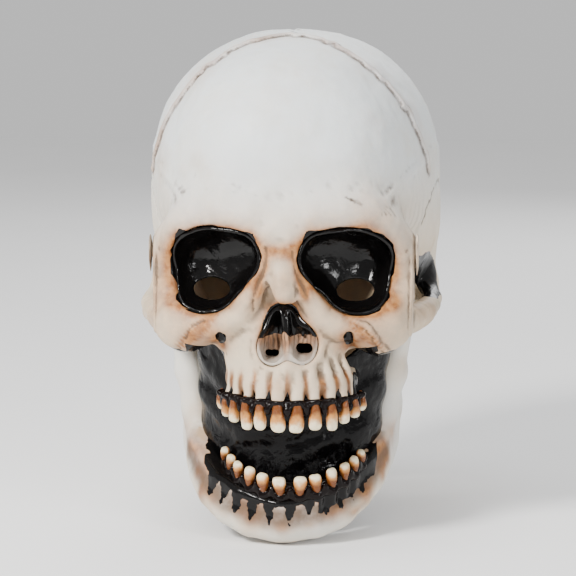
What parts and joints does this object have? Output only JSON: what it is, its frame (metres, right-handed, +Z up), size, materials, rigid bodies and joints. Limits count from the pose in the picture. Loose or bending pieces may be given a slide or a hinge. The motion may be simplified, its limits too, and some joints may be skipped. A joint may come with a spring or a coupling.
{
  "type": "latex halloween mask",
  "caption": "Over-the-head latex skull mask with see-through sockets and an open jaw that moves with the wearer's own.",
  "frame": {"origin": "midway between the wearer's ears, on the line that the jaw turns about, where the head carries the mask", "axes": "+X is the mask's own left, the face looks along -Y, +Z is up through the crown"},
  "size_m": [0.192, 0.2425, 0.3169],
  "materials": {
    "bone_latex": "matte painted, aged bone",
    "black_latex": "gloss black paint",
    "gum_latex": "gloss black paint",
    "membrane_latex": "gloss black, thin and flexible",
    "tooth_resin": "gloss, stained at the gum",
    "foam": "open-cell foam",
    "cloth": "plain woven cotton",
    "elastic": "woven elastic"
  },
  "bodies": {
    "skull": {"skull_shell": "bone_latex", "left_eye_cup": "black_latex", "right_eye_cup": "black_latex", "nasal_cup": "black_latex", "upper_gum": "gum_latex", "upper_tooth_left_1": "tooth_resin", "upper_tooth_left_2": "tooth_resin", "upper_tooth_left_3": "tooth_resin", "upper_tooth_left_4": "tooth_resin", "upper_tooth_left_5": "tooth_resin", "upper_tooth_left_6": "tooth_resin", "upper_tooth_right_1": "tooth_resin", "upper_tooth_right_2": "tooth_resin", "upper_tooth_right_3": "tooth_resin", "upper_tooth_right_4": "tooth_resin", "upper_tooth_right_5": "tooth_resin", "upper_tooth_right_6": "tooth_resin", "mouth_membrane": "membrane_latex", "crown_pad": "foam", "brow_pad": "foam", "left_temple_pad": "foam", "right_temple_pad": "foam", "nape_pad": "foam", "slit_patch": "cloth", "left_jaw_elastic": "elastic", "right_jaw_elastic": "elastic"},
    "jaw": {"jaw_shell": "bone_latex", "lower_gum": "gum_latex", "lower_tooth_left_1": "tooth_resin", "lower_tooth_left_2": "tooth_resin", "lower_tooth_left_3": "tooth_resin", "lower_tooth_left_4": "tooth_resin", "lower_tooth_left_5": "tooth_resin", "lower_tooth_left_6": "tooth_resin", "lower_tooth_right_1": "tooth_resin", "lower_tooth_right_2": "tooth_resin", "lower_tooth_right_3": "tooth_resin", "lower_tooth_right_4": "tooth_resin", "lower_tooth_right_5": "tooth_resin", "lower_tooth_right_6": "tooth_resin", "chin_cup": "foam", "chin_strap": "elastic"}
  },
  "joints": [
    {"name": "jaw_hinge", "type": "hinge", "parent": "skull", "child": "jaw", "pos_m": [0, 0, 0], "axis": [1, 0, 0], "range_deg": [-13.5, 6], "stiffness_Nm_per_rad": 2, "deforming": ["mouth_membrane", "left_jaw_elastic", "right_jaw_elastic"]}
  ]
}
